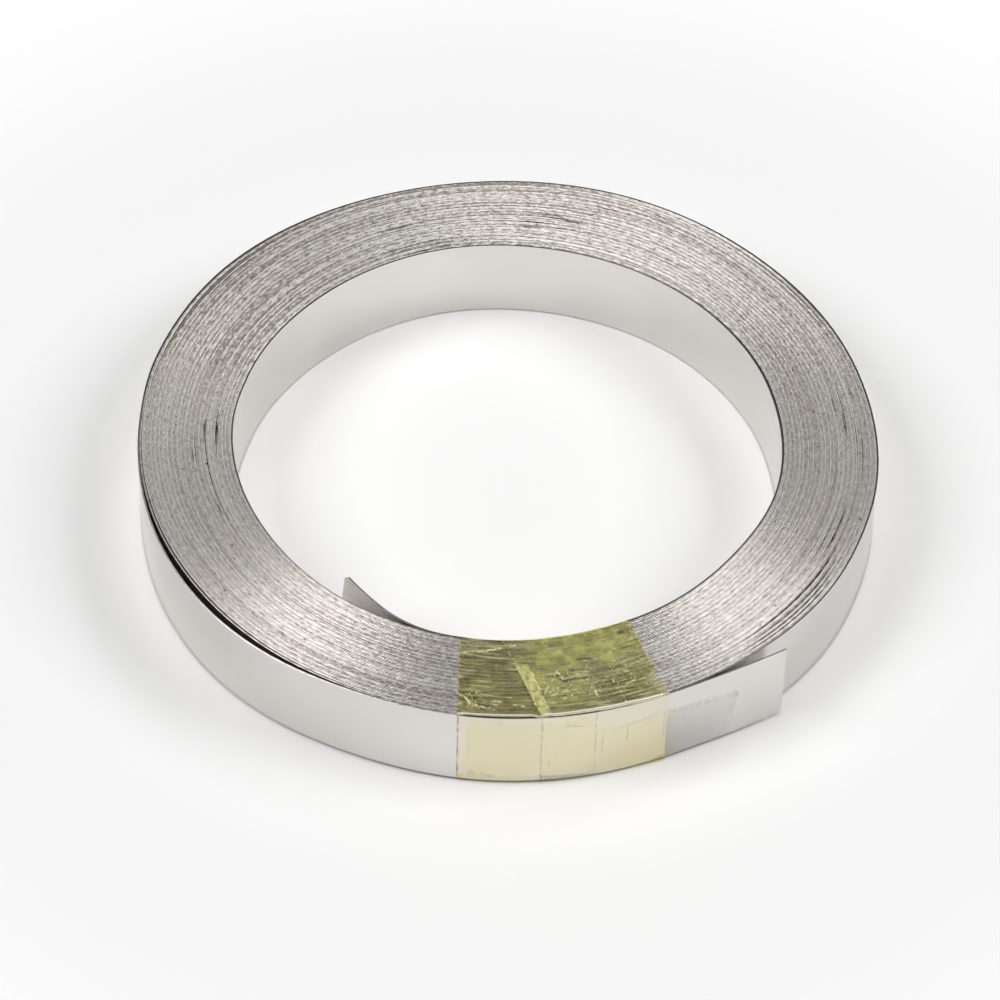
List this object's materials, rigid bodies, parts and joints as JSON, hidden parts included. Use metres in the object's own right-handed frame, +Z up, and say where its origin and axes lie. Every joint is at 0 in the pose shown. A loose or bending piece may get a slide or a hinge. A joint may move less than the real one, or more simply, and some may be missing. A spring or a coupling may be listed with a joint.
{
  "type": "nickel strip coil",
  "caption": "Flat-lying round coil of thin nickel strip for joining battery cells, with an open bore, free inner and outer ends and clear yellowed tape wrapped round it.",
  "frame": {"origin": "on the coil's axis, in the plane of its underside", "axes": "+Z up along the coil's axis, -Y towards the tape, +X towards the free outer end"},
  "size_m": [0.0648, 0.0648, 0.0081],
  "materials": {
    "nickel": "bright rolled faces, slit edges",
    "yellowed_tape": "clear tape, yellowed and wrinkled"
  },
  "bodies": {
    "root": {"strip_coil": "nickel", "under_tape": "yellowed_tape", "over_tape": "yellowed_tape"}
  },
  "joints": []
}
